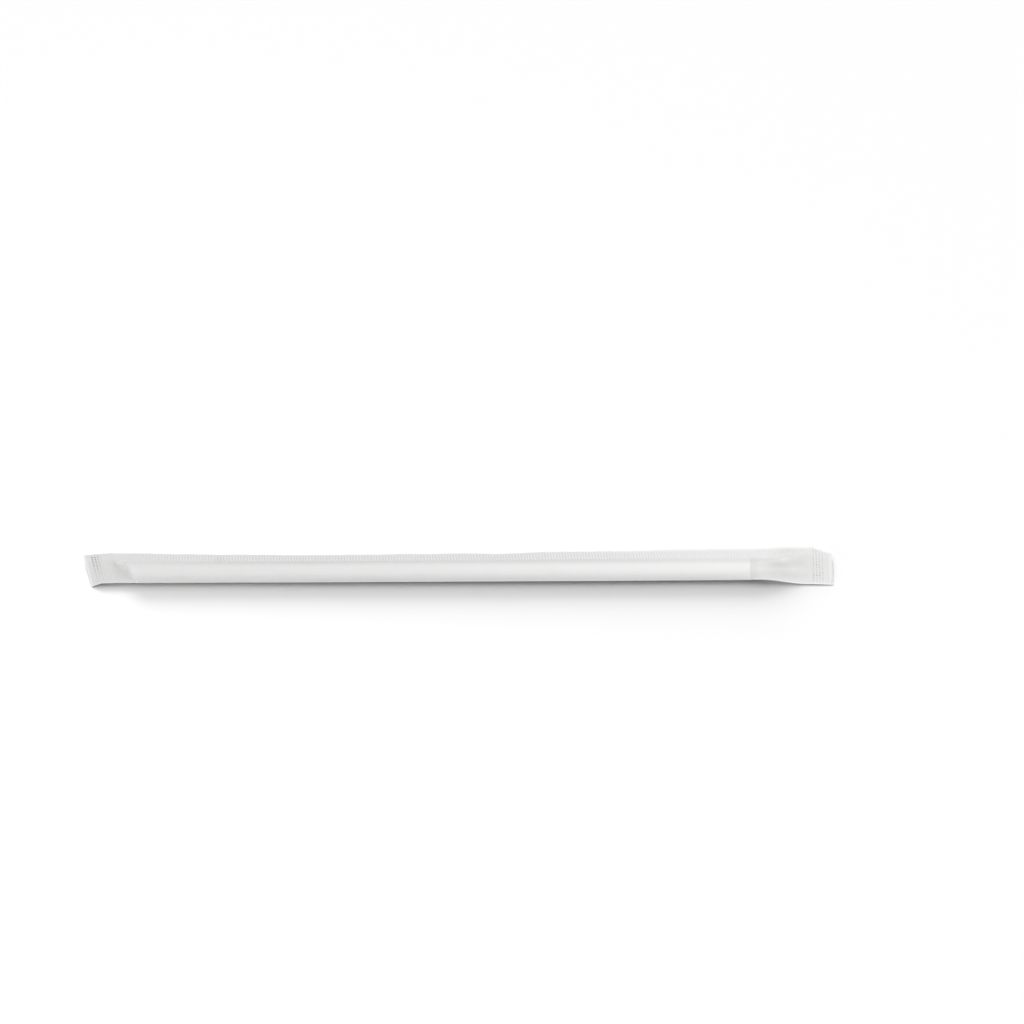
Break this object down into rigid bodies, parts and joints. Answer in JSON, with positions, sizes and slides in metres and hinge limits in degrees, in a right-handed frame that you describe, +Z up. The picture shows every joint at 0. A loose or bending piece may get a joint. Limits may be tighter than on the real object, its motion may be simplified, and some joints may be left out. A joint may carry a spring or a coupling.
{
  "type": "wrapped drinking straw",
  "caption": "Straight drinking straw sealed in a thin paper sleeve with a crimped long seam and crimped, cut-off ends.",
  "frame": {"origin": "on the table, under the middle of the wrapper's length and of its flat width", "axes": "+X along the straw, towards the long empty tail of the wrapper; +Y from the fold to the long seam; +Z up"},
  "size_m": [0.2362, 0.0142, 0.0062],
  "materials": {
    "wrapper_paper": "matt, thin and slightly see-through",
    "straw_paper": "matt"
  },
  "bodies": {
    "root": {"paper_wrapper": "wrapper_paper", "drinking_straw": "straw_paper"}
  },
  "joints": []
}
